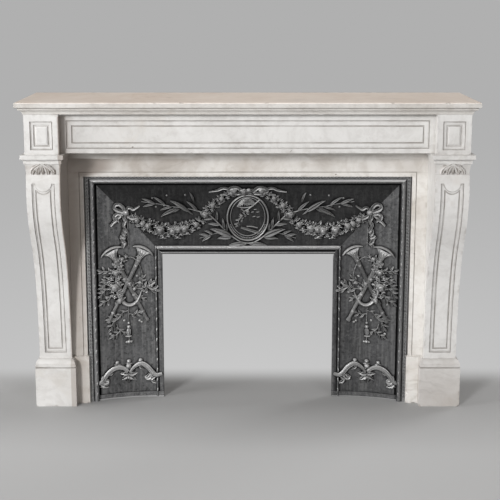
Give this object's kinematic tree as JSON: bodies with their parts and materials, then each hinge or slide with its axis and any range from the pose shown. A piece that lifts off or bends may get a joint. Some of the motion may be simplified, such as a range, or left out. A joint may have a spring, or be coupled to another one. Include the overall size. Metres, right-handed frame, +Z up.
{
  "type": "fireplace mantel",
  "caption": "White marble chimneypiece with S-shaped console jambs, panelled frieze and moulded shelf, lined by a splayed cast-iron insert with garlands, a medallion and crossed horns in relief.",
  "frame": {"origin": "bottom centre of the bounding box: on the floor, midway between the jambs and midway between the shelf's front edge and the wall", "axes": "+X to the right along the shelf as seen by someone facing the front, +Y back towards the wall, +Z up"},
  "size_m": [1.5, 0.36, 1.08],
  "materials": {
    "marble": "honed white marble with fine grey veins and soft worn edges",
    "shelf_marble": "honed white marble, warmer and beige from use on top",
    "inner_marble": "honed white marble with grey-beige stains",
    "cast_iron": "blackened cast iron, brushed brighter on the crests of the relief"
  },
  "bodies": {
    "root": {"shelf": "shelf_marble", "frieze": "marble", "left_frieze_block": "marble", "right_frieze_block": "marble", "left_jamb": "marble", "right_jamb": "marble", "left_foot_block": "marble", "right_foot_block": "marble", "top_slip": "inner_marble", "left_slip": "inner_marble", "right_slip": "inner_marble", "left_slip_plinth": "inner_marble", "right_slip_plinth": "inner_marble", "left_return": "marble", "right_return": "marble", "iron_top_plate": "cast_iron", "iron_left_cheek": "cast_iron", "iron_right_cheek": "cast_iron"}
  },
  "joints": []
}
